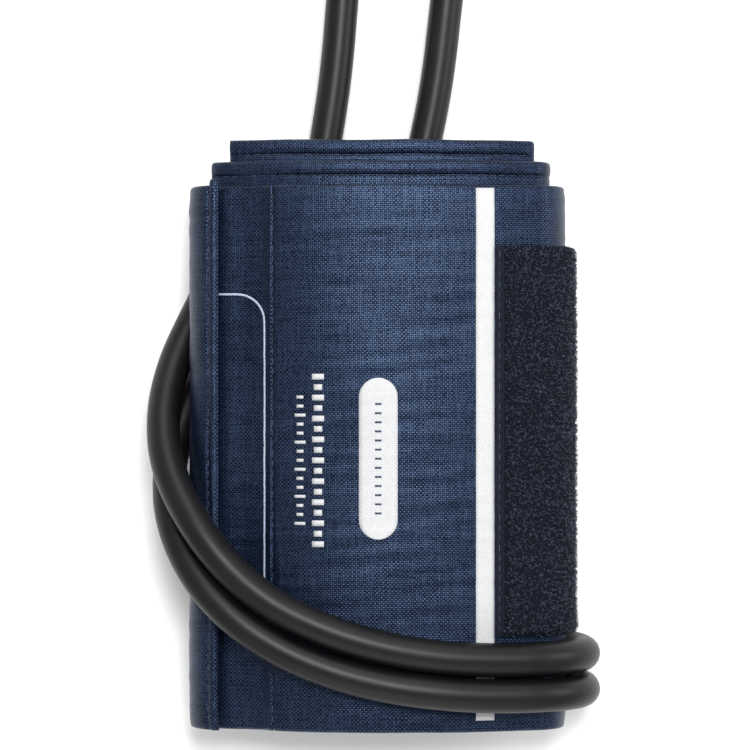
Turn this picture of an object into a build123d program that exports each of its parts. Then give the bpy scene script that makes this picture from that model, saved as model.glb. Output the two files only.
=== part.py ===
from build123d import *
import os
from math import acos, atan2, cos, pi, radians, sin, tan

# A blood pressure cuff rolled up flat, with its two hoses wound round it.
# Millimetres. The roll lies on its back: X runs across the roll, Y along its axis,
# and Z up from the table. The roll's own box (without hoses) is centred on the origin.

# Strip: the flat cuff before it is rolled
CUFF_WIDTH = 145.0
SHEET = 0.7                # one nylon sheet
BLADDER_THICK = 2.0
BLADDER_WIDTH = 124.0
EDGE_TURN = 2.5            # turned-in edge that closes the pocket
LINER_OUT = -(2 * SHEET + BLADDER_THICK)   # inner face of the strip along the pocket

# Roll: three wraps with common fold centres
HALF_WIDTH = 50.6          # outer face of the outermost fold, from the roll's middle
FOLD_RADIUS = 10.0         # of the outermost fold
PITCH = 4.2                # from one wrap to the next
HEIGHT = 25.0              # back face to the crown of the front face
WRAP_SHIFT = (0.0, 6.7, 12.5)    # how far each wrap is pushed out along Y
FLAP_END_X = -42.3
CORE_END_X = -39.8
CORE_RADIUS = 158.0        # of the core's last length, which lies lower than the wraps round it

# Fasteners, prints and threads
TAPE = 0.8
PILE = 2.8
LOOP_PROUD = TAPE + PILE
HOOK_STUBBLE = 0.9
PRINT = 0.12
PILL_INK = 0.06            # dark print on the white label
THREAD = 0.25
THREAD_WIDE = 0.6
PORT_FLANGE = 0.8

# Hoses
HOSE_OD = 9.0
HOSE_ID = 5.0
HOSE_LIFT = 0.1            # hose over the table
HOSE_GAP = 0.3             # roll over the hoses that run beneath it
BACK_Z = HOSE_LIFT + HOSE_OD + HOSE_GAP

# The roll's box, centred on the origin
ROLL_X = -LOOP_PROUD / 2
ROLL_Y = -WRAP_SHIFT[2] / 2
TABLE_Z = -(BACK_Z + (HEIGHT + PRINT + PILL_INK - PORT_FLANGE) / 2)

FOLD_X = HALF_WIDTH - FOLD_RADIUS
LEFT_FOLD_X = (FOLD_X, FOLD_X, FOLD_X + 2.4)     # the innermost left fold sits tight in the next
FOLD_Z = BACK_Z + FOLD_RADIUS
TOP, BOTTOM = CUFF_WIDTH / 2, -CUFF_WIDTH / 2

os.makedirs("parts", exist_ok=True)


# ---- the rolled strip's path ------------------------------------------------------------
# The path is the strip's outer face, followed from the flap's end to the core. Every piece of
# it is a level line along the back or an arc that turns the same way.

def arc_piece(centre_x, centre_z, radius, start, end):
    """Arc of the path. Offsets are measured outward from the strip's outer face."""
    def place(distance, out):
        angle = start + distance / radius
        return centre_x + (radius + out) * cos(angle), centre_z + (radius + out) * sin(angle)
    return radius * (end - start), place, True


def back_piece(wrap):
    """Level line along the back of a wrap, from the left fold to the right fold."""
    def place(distance, out):
        return distance - LEFT_FOLD_X[wrap], BACK_Z + wrap * PITCH - out
    return LEFT_FOLD_X[wrap] + FOLD_X, place, False


def front_arc(crown, radius, fold_x=FOLD_X):
    """Radius and end angle of the arc that joins a fold to the crown at the middle."""
    back = FOLD_Z - radius
    rise = crown - back
    front_radius = (fold_x ** 2 + (rise - radius) ** 2 - radius ** 2) / (2 * (rise - 2 * radius))
    return front_radius, atan2(FOLD_Z - (crown - front_radius), fold_x)


def rolled_path():
    """The pieces of the path in order: fold, back, fold and front of each wrap."""
    flap_angle = pi - acos((-FLAP_END_X - FOLD_X) / FOLD_RADIUS)
    pieces = [arc_piece(-FOLD_X, FOLD_Z, FOLD_RADIUS, flap_angle, 1.5 * pi)]
    for wrap in range(3):
        radius = FOLD_RADIUS - wrap * PITCH
        crown = BACK_Z + HEIGHT - wrap * PITCH
        front_radius, angle = front_arc(crown, radius)
        pieces.append(back_piece(wrap))
        pieces.append(arc_piece(FOLD_X, FOLD_Z, radius, -pi / 2, angle))
        pieces.append(arc_piece(0, crown - front_radius, front_radius, angle, pi / 2))
        inner_radius = radius - PITCH
        if wrap < 2:
            fold_x = LEFT_FOLD_X[wrap + 1]
            front_radius, angle = front_arc(crown, inner_radius, fold_x)
            pieces.append(arc_piece(0, crown - front_radius, front_radius, pi / 2, pi - angle))
            pieces.append(arc_piece(-fold_x, FOLD_Z, inner_radius, pi - angle, 1.5 * pi))
        else:
            end_angle = acos(CORE_END_X / CORE_RADIUS)
            pieces.append(arc_piece(0, crown - CORE_RADIUS, CORE_RADIUS, pi / 2, end_angle))
    return pieces


PIECES = rolled_path()
STARTS = [sum(length for length, _, _ in PIECES[:k]) for k in range(len(PIECES))]
STRIP_LENGTH = STARTS[-1] + PIECES[-1][0]
BACK_1, FOLD_1, WRAP_2 = STARTS[1], STARTS[2], STARTS[5]
STEP_2, STEP_3 = STARTS[6] + FOLD_X, STARTS[11] + FOLD_X     # the wraps step along Y at their backs
WRAP_RANGES = ((0, STEP_2), (STEP_2, STEP_3), (STEP_3, STRIP_LENGTH))


def along_front(x):
    """Distance along the strip of a place on the front face of the outermost wrap."""
    index = 3 if x >= 0 else 4
    radius, angle = front_arc(BACK_Z + HEIGHT, FOLD_RADIUS - (0 if x >= 0 else PITCH))
    start = angle if x >= 0 else pi / 2
    return STARTS[index] + radius * (acos(x / radius) - start)


def along_back(x):
    """Distance along the strip of a place on the back face of the outermost wrap."""
    return BACK_1 + x + FOLD_X


def spans_between(start, end):
    """The pieces of the path, cut to the part between two distances along the strip."""
    spans = []
    for (length, place, curved), begin in zip(PIECES, STARTS):
        low, high = max(start, begin) - begin, min(end, begin + length) - begin
        if high - low > 1e-6:
            spans.append((place, curved, low, high))
    return spans


def layer(start, end, inner, outer, low_y, high_y):
    """Add a layer of the strip between two distances, two offsets and two places along Y."""
    def point(place, distance, out):
        x, z = place(distance, out)
        return x + ROLL_X, z + TABLE_Z

    spans = spans_between(start, end)
    with BuildSketch(Plane.XZ.offset(-(high_y + ROLL_Y))) as section:
        with BuildLine():
            for place, curved, low, high in spans:
                for out in (inner, outer):
                    ends = point(place, low, out), point(place, high, out)
                    if curved:
                        ThreePointArc(ends[0], point(place, (low + high) / 2, out), ends[1])
                    else:
                        Line(*ends)
            for place, distance in ((spans[0][0], spans[0][2]), (spans[-1][0], spans[-1][3])):
                Line(point(place, distance, inner), point(place, distance, outer))
        make_face()
    extrude(section.sketch, amount=high_y - low_y)


def wrapped_layer(start, end, inner, outer, low, high):
    """A layer that follows the strip from wrap to wrap, pushed along Y with each."""
    for (first, last), shift in zip(WRAP_RANGES, WRAP_SHIFT):
        if min(end, last) - max(start, first) > 0.01:
            layer(max(start, first), min(end, last), inner, outer, low + shift, high + shift)


def save(builder, label):
    builder.part.label = label
    export_step(builder.part, f"parts/{label}.step")


# ---- hose routes -------------------------------------------------------------------------
# Each route starts where the hose is pushed on its port under the roll, climbs the left edge,
# crosses the front, goes round the right edge, and runs under the roll and out past its top.
# X and Y from the middle of the outermost wrap, Z from the table.
ROUTES = {
    "gauge": [
        (-36.4, 59.6, 4.6), (-44.2, 49.3, 4.6), (-50.1, 37.3, 6.5), (-55.5, 25.1, 11.8),
        (-58.0, 11.2, 20.0), (-56.2, -1.9, 28.1), (-50.0, -14.5, 35.2), (-41.1, -26.7, 38.9),
        (-29.8, -36.9, 39.5), (-16.0, -44.0, 40.2), (-1.0, -48.9, 40.3), (14.4, -51.8, 39.6),
        (29.8, -52.9, 37.6), (46.4, -52.8, 34.5), (55.4, -52.6, 25.6), (55.4, -52.4, 13.3),
        (46.7, -51.4, 4.6), (31.0, -47.0, 4.6), (16.7, -37.7, 4.6), (5.4, -23.7, 4.6),
        (-1.3, -7.0, 4.6), (-3.3, 11.9, 4.6), (-0.7, 32.7, 4.6), (5.3, 54.9, 4.6),
        (11.4, 78.0, 4.6), (16.4, 101.5, 4.6), (19.0, 125.0, 4.6), (21.6, 147.0, 4.6),
        (31.4, 167.2, 4.6), (48.6, 181.8, 4.6), (70.6, 187.6, 4.6), (92.8, 183.4, 4.6),
        (111.0, 170.6, 4.6), (122.0, 151.8, 4.6),
    ],
    "bulb": [
        (-34.6, 40.4, 4.6), (-42.2, 30.8, 4.6), (-48.8, 19.1, 6.3), (-54.6, 6.2, 11.8),
        (-56.6, -6.9, 19.5), (-54.1, -19.8, 27.3), (-47.6, -31.8, 33.5), (-37.7, -42.3, 37.4),
        (-25.2, -50.4, 38.8), (-11.4, -56.0, 39.8), (2.8, -59.5, 40.2), (17.2, -61.4, 39.6),
        (31.2, -62.4, 37.5), (46.4, -62.3, 34.5), (55.4, -62.2, 25.6), (55.4, -62.0, 13.3),
        (46.7, -61.3, 4.6), (28.2, -56.9, 4.6), (10.8, -47.2, 4.6), (-4.0, -31.8, 4.6),
        (-14.6, -11.5, 4.6), (-19.8, 10.5, 4.6), (-20.8, 33.0, 4.6), (-18.2, 56.0, 4.6),
        (-15.2, 80.0, 4.6), (-11.3, 104.0, 4.6), (-9.4, 128.0, 4.6), (-7.6, 149.0, 4.6),
        (1.8, 171.5, 4.6), (19.0, 188.8, 4.6), (42.0, 198.8, 4.6), (68.5, 200.2, 4.6),
    ],
}


def placed(point):
    """A point of a route, moved from the table's frame to the roll's."""
    x, y, z = point
    return Vector(x + ROLL_X, y + ROLL_Y, z + TABLE_Z)


def bend_radii(route):
    """Radius at each corner of a route, as large as its two runs allow."""
    radii = []
    for before, corner, after in zip(route, route[1:], route[2:]):
        arriving, leaving = corner - before, after - corner
        half_turn = radians(arriving.get_angle(leaving)) / 2
        radii.append(0.45 * min(arriving.length, leaving.length) / tan(half_turn))
    return radii


def hose_tube(name):
    """Hollow hose along its route: straight runs joined by tangent arcs."""
    route = [placed(point) for point in ROUTES[name]]
    radii = bend_radii(route)
    with BuildPart() as tube:
        with BuildLine():
            path = FilletPolyline(*route, radius=radii)
        with BuildSketch(Plane(origin=route[0], z_dir=route[1] - route[0])):
            Circle(HOSE_OD / 2)
            Circle(HOSE_ID / 2, mode=Mode.SUBTRACT)
        sweep(path=path)
    section_length = pi / 4 * (HOSE_OD ** 2 - HOSE_ID ** 2) * path.length
    print(name, "hose length", round(path.length, 1),
          "volume over section times length", round(tube.part.volume / section_length, 4))
    print("  bend radii", [round(radius) for radius in radii])
    return tube


gauge_hose = hose_tube("gauge")
save(gauge_hose, "gauge_hose")

bulb_hose = hose_tube("bulb")
save(bulb_hose, "bulb_hose")

# ---- ports: moulded elbows on the bladder, pushed into the hoses ---------------------------
ELBOW_RADIUS = 3.9
ELBOW_OUT = 5.6            # from the neck's axis to the hose
NECK_RADIUS = 3.0
FLANGE_RADIUS = 5.2
SPIGOT_RADIUS, SPIGOT_LENGTH = 2.45, 7.0
AIR_RADIUS = 1.4


def port_axis(name):
    """Where the neck of a port stands on the bladder, at the height of the hose."""
    first, second = (placed(point) for point in ROUTES[name][:2])
    return first - (second - first).normalized() * ELBOW_OUT


def port_elbow(name):
    """Elbow from the bladder's outer face, out through the cover and into the hose."""
    axis = port_axis(name)
    along = (placed(ROUTES[name][0]) - axis).normalized()
    neck_top = BACK_Z + SHEET + TABLE_Z - axis.Z
    body_top = BACK_Z - PORT_FLANGE + TABLE_Z - axis.Z
    with BuildPart() as elbow:
        with Locations(axis):
            Sphere(ELBOW_RADIUS)
        for radius, top in ((ELBOW_RADIUS, body_top), (NECK_RADIUS, neck_top)):
            with BuildSketch(Plane(origin=axis)) as upright:
                Circle(radius)
            extrude(upright.sketch, amount=top)
        for radius, reach in ((ELBOW_RADIUS, ELBOW_OUT), (SPIGOT_RADIUS, ELBOW_OUT + SPIGOT_LENGTH)):
            with BuildSketch(Plane(origin=axis, z_dir=along)) as level:
                Circle(radius)
            extrude(level.sketch, amount=reach)
        with BuildSketch(Plane(origin=axis)) as air_up:
            Circle(AIR_RADIUS)
        extrude(air_up.sketch, amount=neck_top, mode=Mode.SUBTRACT)
        with BuildSketch(Plane(origin=axis, z_dir=along)) as air_along:
            Circle(AIR_RADIUS)
        extrude(air_along.sketch, amount=ELBOW_OUT + SPIGOT_LENGTH, mode=Mode.SUBTRACT)
    return elbow


def port_grommet(name):
    """Ring that seals the neck where it passes through the cover."""
    axis = port_axis(name)
    under_cover = Vector(axis.X, axis.Y, BACK_Z - PORT_FLANGE + TABLE_Z)
    with BuildPart() as grommet:
        with BuildSketch(Plane(origin=under_cover)) as ring:
            Circle(FLANGE_RADIUS)
            Circle(NECK_RADIUS, mode=Mode.SUBTRACT)
        extrude(ring.sketch, amount=PORT_FLANGE)
    return grommet


gauge_port = port_elbow("gauge")
save(gauge_port, "gauge_port")

bulb_port = port_elbow("bulb")
save(bulb_port, "bulb_port")

gauge_port_grommet = port_grommet("gauge")
save(gauge_port_grommet, "gauge_port_grommet")

bulb_port_grommet = port_grommet("bulb")
save(bulb_port_grommet, "bulb_port_grommet")

# ---- connectors on the free ends of the hoses ---------------------------------------------
# Outlines are pairs: distance past the hose's end, radius.
RIM_RADIUS = 4.5
SOCKET_RADIUS, SOCKET_DEPTH = 2.15, 9.0
GAUGE_MOUTH = 15.0
TIP_END, TIP_RADIUS = 17.0, 2.0


def end_plane(name):
    """Plane through the axis of a hose's free end, with its X along the axis."""
    before, end = (placed(point) for point in ROUTES[name][-2:])
    along = (end - before).normalized()
    return Plane(origin=end, x_dir=along, z_dir=along.cross(Vector(0, 0, 1)))


def turned(plane, outline):
    """Add a body turned about the hose's axis."""
    with BuildSketch(plane) as half:
        with BuildLine():
            Polyline(*outline, close=True)
        make_face()
    revolve(half.sketch, axis=Axis(plane.origin, plane.x_dir))


def grips(plane, count, radius, wide, start, end, mode):
    """Ribs or grooves spaced evenly about the hose's axis."""
    across = Plane(origin=plane.origin + plane.x_dir * start, z_dir=plane.x_dir)
    with BuildSketch(across) as marks:
        with PolarLocations(radius, count):
            Circle(wide / 2)
    extrude(marks.sketch, amount=end - start, mode=mode)


gauge_plane = end_plane("gauge")
with BuildPart() as gauge_connector:
    turned(gauge_plane, [
        (-SPIGOT_LENGTH, AIR_RADIUS), (-SPIGOT_LENGTH, SPIGOT_RADIUS), (0, SPIGOT_RADIUS),
        (0, RIM_RADIUS), (2, RIM_RADIUS), (2.6, 3.7), (GAUGE_MOUTH - 2, 3.7),
        (GAUGE_MOUTH - 2, 4.2), (GAUGE_MOUTH, 4.2), (GAUGE_MOUTH, SOCKET_RADIUS),
        (GAUGE_MOUTH - SOCKET_DEPTH, SOCKET_RADIUS), (GAUGE_MOUTH - SOCKET_DEPTH, AIR_RADIUS)])
    grips(gauge_plane, 10, 3.75, 1.2, 2.0, GAUGE_MOUTH - 4, Mode.ADD)
save(gauge_connector, "gauge_connector")

bulb_plane = end_plane("bulb")
with BuildPart() as bulb_connector:
    turned(bulb_plane, [
        (-SPIGOT_LENGTH, AIR_RADIUS), (-SPIGOT_LENGTH, SPIGOT_RADIUS), (0, SPIGOT_RADIUS),
        (0, RIM_RADIUS), (2, RIM_RADIUS), (2, 2.7), (5, 2.7), (5, 3.3), (6.5, 3.3), (6.5, TIP_RADIUS),
        (TIP_END, TIP_RADIUS), (TIP_END, AIR_RADIUS)])
save(bulb_connector, "bulb_connector")

with BuildPart() as lock_collar:
    turned(bulb_plane, [
        (2.3, 3.0), (2.3, RIM_RADIUS), (13.4, RIM_RADIUS), (14, 4.1), (14, 3.6), (4.7, 3.6),
        (4.7, 3.0)])
    grips(bulb_plane, 12, RIM_RADIUS + 0.2, 1.0, 3.0, 12.5, Mode.SUBTRACT)
save(lock_collar, "lock_collar")
print("gauge mouth", gauge_plane.origin + gauge_plane.x_dir * GAUGE_MOUTH, gauge_plane.x_dir)
print("bulb tip", bulb_plane.origin + bulb_plane.x_dir * TIP_END, bulb_plane.x_dir)


# ---- sheets, bladder and fasteners -------------------------------------------------------
POCKET_START = along_back(-38.0)
POCKET_END = along_front(-27.9)
WALL = SHEET               # the liner's step at each end of the pocket

with BuildPart() as outer_cover:
    wrapped_layer(0, STRIP_LENGTH, -SHEET, 0, BOTTOM, TOP)
    for low in (BOTTOM, TOP - EDGE_TURN):
        layer(POCKET_START, POCKET_END, -SHEET - BLADDER_THICK, -SHEET, low, low + EDGE_TURN)
    for name in ROUTES:
        with BuildSketch(Plane.XY.offset(BACK_Z + TABLE_Z)):
            with Locations((port_axis(name).X, port_axis(name).Y)):
                Circle(NECK_RADIUS)
        extrude(amount=SHEET, mode=Mode.SUBTRACT)
save(outer_cover, "outer_cover")

with BuildPart() as inner_liner:
    wrapped_layer(0, POCKET_START, -2 * SHEET, -SHEET, BOTTOM, TOP)
    layer(POCKET_START - WALL, POCKET_START, LINER_OUT, -SHEET, BOTTOM, TOP)
    layer(POCKET_START - WALL, POCKET_END + WALL, LINER_OUT, LINER_OUT + SHEET, BOTTOM, TOP)
    layer(POCKET_END, POCKET_END + WALL, LINER_OUT, -SHEET, BOTTOM, TOP)
    wrapped_layer(POCKET_END, STRIP_LENGTH, -2 * SHEET, -SHEET, BOTTOM, TOP)
save(inner_liner, "inner_liner")

with BuildPart() as bladder:
    layer(POCKET_START + 1.0, POCKET_END - 1.0, LINER_OUT + SHEET, -SHEET,
          -BLADDER_WIDTH / 2, BLADDER_WIDTH / 2)
save(bladder, "bladder")

# Loop fastener over the right edge: a woven tape with a bare selvage, and the pile on it
LOOP_X, SELVAGE = 31.1, 2.3
LOOP_LOW, LOOP_HIGH = -47.4, 56.4
LOOP_START = FOLD_1 + radians(50) * FOLD_RADIUS
with BuildPart() as loop_tape:
    layer(LOOP_START, along_front(LOOP_X), 0, TAPE, LOOP_LOW, LOOP_HIGH)
save(loop_tape, "loop_tape")

with BuildPart() as loop_pile:
    layer(LOOP_START + SELVAGE, along_front(LOOP_X + SELVAGE), TAPE, LOOP_PROUD,
          LOOP_LOW, LOOP_HIGH)
save(loop_pile, "loop_pile")

# Hook fastener on the skin side, at the strip's inner end
HOOK_END = STRIP_LENGTH - 9.0
HOOK_START = HOOK_END - 48.0
HOOK_FACE = -2 * SHEET
with BuildPart() as hook_tape:
    wrapped_layer(HOOK_START, HOOK_END, HOOK_FACE - TAPE, HOOK_FACE, BOTTOM + 8, TOP - 8)
save(hook_tape, "hook_tape")

with BuildPart() as hook_stubble:
    wrapped_layer(HOOK_START + 2, HOOK_END - 2, HOOK_FACE - TAPE - HOOK_STUBBLE, HOOK_FACE - TAPE,
                  BOTTOM + 10, TOP - 10)
save(hook_stubble, "hook_stubble")

# ---- print on the front face -------------------------------------------------------------
CROWN_Z = BACK_Z + HEIGHT + TABLE_Z
CUT_TOP = Plane.XY.offset(CROWN_Z + 1)
CUT_DEPTH = HEIGHT / 2


def skin(x_low, x_high, y_low, y_high):
    """Thin skin of print on the front face, to be cut to the outline of the print."""
    layer(along_front(x_high), along_front(x_low), 0, PRINT, y_low, y_high)


def on_roll(x, y):
    return x + ROLL_X, y + ROLL_Y


STRIPE_X = (26.0, 30.9)
with BuildPart() as index_stripe:
    skin(*STRIPE_X, BOTTOM + 3.2, TOP)
save(index_stripe, "index_stripe")

PILL_SIZE = (10.2, 42.6)
with BuildPart() as pill_label:
    skin(-6, 6, -25, 25)
    with BuildSketch(CUT_TOP):
        with Locations(on_roll(0.2, 0)):
            SlotOverall(PILL_SIZE[1], PILL_SIZE[0], rotation=90)
    extrude(amount=-CUT_DEPTH, mode=Mode.INTERSECT)
save(pill_label, "pill_label")

OUTLINE_X, OUTLINE_Y, OUTLINE_CORNER, OUTLINE_LINE = -30.4, 43.5, 7.4, 0.55
with BuildPart() as range_outline:
    skin(-38.5, -29, -OUTLINE_Y - 2, OUTLINE_Y + 2)
    with BuildSketch(CUT_TOP):
        with Locations(on_roll(OUTLINE_X - 20, 0)):
            RectangleRounded(40 + OUTLINE_LINE, 2 * OUTLINE_Y + OUTLINE_LINE, OUTLINE_CORNER)
            RectangleRounded(40 - OUTLINE_LINE, 2 * OUTLINE_Y - OUTLINE_LINE, OUTLINE_CORNER,
                             mode=Mode.SUBTRACT)
    extrude(amount=-CUT_DEPTH, mode=Mode.INTERSECT)
save(range_outline, "range_outline")


def tick_marks(x, y_low, y_high, count, sizes):
    """A row of printed ticks along Y, whose sizes repeat in turn."""
    skin(x - 3, x + 3, y_low - 4, y_high + 4)
    with BuildSketch(CUT_TOP) as ticks:
        for k in range(count):
            wide, tall = sizes[k % len(sizes)]
            with Locations(on_roll(x, y_low + (y_high - y_low) * k / (count - 1))):
                Rectangle(wide, tall)
    extrude(ticks.sketch, amount=-CUT_DEPTH, mode=Mode.INTERSECT)


with BuildPart() as bold_marks:
    tick_marks(-15.7, -22.6, 21.6, 17, ((3.2, 1.5), (2.2, 1.5)))
save(bold_marks, "bold_marks")

with BuildPart() as fine_marks:
    tick_marks(-20.5, -17.2, 16.2, 15, ((2.9, 0.8), (1.8, 0.8), (1.8, 0.8)))
save(fine_marks, "fine_marks")

PILL_TICK = (1.7, 0.5)
with BuildPart() as pill_ticks:
    layer(along_front(1.6), along_front(-1.2), PRINT, PRINT + PILL_INK, -16, 16)
    with BuildSketch(CUT_TOP):
        with Locations(on_roll(0.2, 0)):
            with GridLocations(0, 2.4, 1, 13):
                Rectangle(*PILL_TICK)
    extrude(amount=-CUT_DEPTH, mode=Mode.INTERSECT)
save(pill_ticks, "pill_ticks")

# ---- stitching ---------------------------------------------------------------------------
HEM_IN = 4.0
HEM_START, HEM_END = WRAP_2 + 1.0, STRIP_LENGTH - 3.5


def cross_stitching(distance, outer_face=0.0):
    """A line of thread across the strip."""
    wrapped_layer(distance, distance + THREAD_WIDE, outer_face, outer_face + THREAD,
                  BOTTOM + 2, TOP - 2)


with BuildPart() as top_hem_stitching:
    wrapped_layer(HEM_START, HEM_END, 0, THREAD, TOP - HEM_IN, TOP - HEM_IN + THREAD_WIDE)
save(top_hem_stitching, "top_hem_stitching")

with BuildPart() as bottom_hem_stitching:
    wrapped_layer(HEM_START, HEM_END, 0, THREAD,
                  BOTTOM + HEM_IN - THREAD_WIDE, BOTTOM + HEM_IN)
save(bottom_hem_stitching, "bottom_hem_stitching")

with BuildPart() as flap_end_stitching:
    cross_stitching(3.0)
save(flap_end_stitching, "flap_end_stitching")

with BuildPart() as core_end_stitching:
    cross_stitching(STRIP_LENGTH - 3.0)
save(core_end_stitching, "core_end_stitching")

with BuildPart() as pocket_seam_stitching:
    cross_stitching(POCKET_END)
save(pocket_seam_stitching, "pocket_seam_stitching")

with BuildPart() as pocket_end_stitching:
    cross_stitching(POCKET_START - 2.0)
save(pocket_end_stitching, "pocket_end_stitching")

LOOP_STITCH_IN = 1.0
with BuildPart() as loop_tape_stitching:
    for distance in (LOOP_START + LOOP_STITCH_IN, along_front(LOOP_X + 1.6)):
        layer(distance, distance + THREAD_WIDE, TAPE, TAPE + THREAD, LOOP_LOW + 1, LOOP_HIGH - 1)
save(loop_tape_stitching, "loop_tape_stitching")

with BuildPart() as hook_tape_stitching:
    for distance in (HOOK_START + 0.8, HOOK_END - 0.8 - THREAD_WIDE):
        wrapped_layer(distance, distance + THREAD_WIDE, HOOK_FACE - TAPE - THREAD, HOOK_FACE - TAPE,
                      BOTTOM + 10, TOP - 10)
save(hook_tape_stitching, "hook_tape_stitching")

print("strip length", round(STRIP_LENGTH, 1), "pocket", round(POCKET_END - POCKET_START, 1))
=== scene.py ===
from math import acos, atan2, ceil, cos, pi, radians, sin

import bpy
import numpy as np
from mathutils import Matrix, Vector, noise


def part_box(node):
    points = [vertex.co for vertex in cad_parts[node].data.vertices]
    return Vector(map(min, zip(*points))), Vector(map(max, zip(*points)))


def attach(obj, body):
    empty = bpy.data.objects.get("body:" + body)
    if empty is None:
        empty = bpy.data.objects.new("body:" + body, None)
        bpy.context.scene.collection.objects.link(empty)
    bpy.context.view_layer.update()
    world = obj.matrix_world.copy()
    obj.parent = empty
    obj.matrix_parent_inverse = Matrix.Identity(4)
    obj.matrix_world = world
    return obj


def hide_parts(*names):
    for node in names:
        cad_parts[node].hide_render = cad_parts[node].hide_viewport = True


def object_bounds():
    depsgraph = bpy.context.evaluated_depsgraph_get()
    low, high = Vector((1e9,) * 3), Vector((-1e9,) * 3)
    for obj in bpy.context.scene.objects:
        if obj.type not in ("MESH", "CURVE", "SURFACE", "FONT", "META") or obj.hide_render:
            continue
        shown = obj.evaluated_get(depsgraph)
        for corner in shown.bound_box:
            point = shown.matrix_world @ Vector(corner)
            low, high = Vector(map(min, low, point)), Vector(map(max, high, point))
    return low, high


# A blood pressure cuff rolled up flat, with its two hoses wound round it.
# Shapes are worked out in millimetres in the table's frame: X across the roll and Y along its
# axis, from the middle of the outermost wrap, and Z up from the table. to_row() turns them into
# metres in the row frame.

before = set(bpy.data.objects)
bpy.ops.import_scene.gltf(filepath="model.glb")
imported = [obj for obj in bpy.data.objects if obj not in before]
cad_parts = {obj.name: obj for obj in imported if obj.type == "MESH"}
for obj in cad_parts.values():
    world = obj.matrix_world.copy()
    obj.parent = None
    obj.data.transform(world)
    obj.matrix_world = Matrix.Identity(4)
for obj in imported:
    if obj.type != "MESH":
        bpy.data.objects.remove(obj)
CAD_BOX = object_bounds()
MM = 0.001

# ---- sizes -------------------------------------------------------------------------------
CUFF_WIDTH = 145.0
EDGE = CUFF_WIDTH / 2
HOSE_OD = 9.0
HOSE_LIFT = 0.1            # lowest hose over the table
FOLD_RADIUS = 10.0         # of the outermost fold
PITCH = 4.2                # from one wrap to the next
WRAP_SHIFT = (0.0, 6.7, 12.5)
FLAP_END_X = -42.3
CORE_END_X = -39.8
CORE_RADIUS = 158.0        # of the core's last length, which lies lower than the wraps round it

cover_low, cover_high = (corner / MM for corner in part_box("outer_cover"))
HALF_WIDTH = (cover_high.x - cover_low.x) / 2
HEIGHT = cover_high.z - cover_low.z
ORIGIN = Vector(((cover_low.x + cover_high.x) / 2, cover_low.y + EDGE,
                 CAD_BOX[0].z / MM - HOSE_LIFT))
BACK_Z = cover_low.z - ORIGIN.z
CROWN_Z = BACK_Z + HEIGHT
FOLD_X = HALF_WIDTH - FOLD_RADIUS
LEFT_FOLD_X = (FOLD_X, FOLD_X, FOLD_X + 2.4)     # the innermost left fold sits tight in the next
FOLD_Z = BACK_Z + FOLD_RADIUS

# Layers of the strip, measured outward from its outer face
SHEET = 0.6
LINER_OUT, LINER_IN = -0.65, -1.25
RETURN_OUT, RETURN_IN = -1.3, -1.7     # the cover's edge, turned in over the liner
BLADDER_SWELL = 1.9
HEM = 4.0


def to_row(points):
    """Points of the table's frame, in millimetres, as metres in the row frame."""
    return (np.asarray(points, float) + np.array(ORIGIN)) * MM


# ---- camera: straight above the front face, as far off as its slight perspective shows ----
VIEW_CENTRE = (-0.66, 22.04, 33.0)
VIEW_DISTANCE = 700.0
VIEW_WIDTH = 198.0
SENSOR = 36.0

camera_data = bpy.data.cameras.new("photo_camera")
camera_data.sensor_width = SENSOR
camera_data.lens = SENSOR * VIEW_DISTANCE / VIEW_WIDTH
camera = bpy.data.objects.new("photo_camera", camera_data)
camera.location = to_row(np.array(VIEW_CENTRE) + (0, 0, VIEW_DISTANCE))
bpy.context.scene.collection.objects.link(camera)
bpy.context.scene.camera = camera


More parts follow.
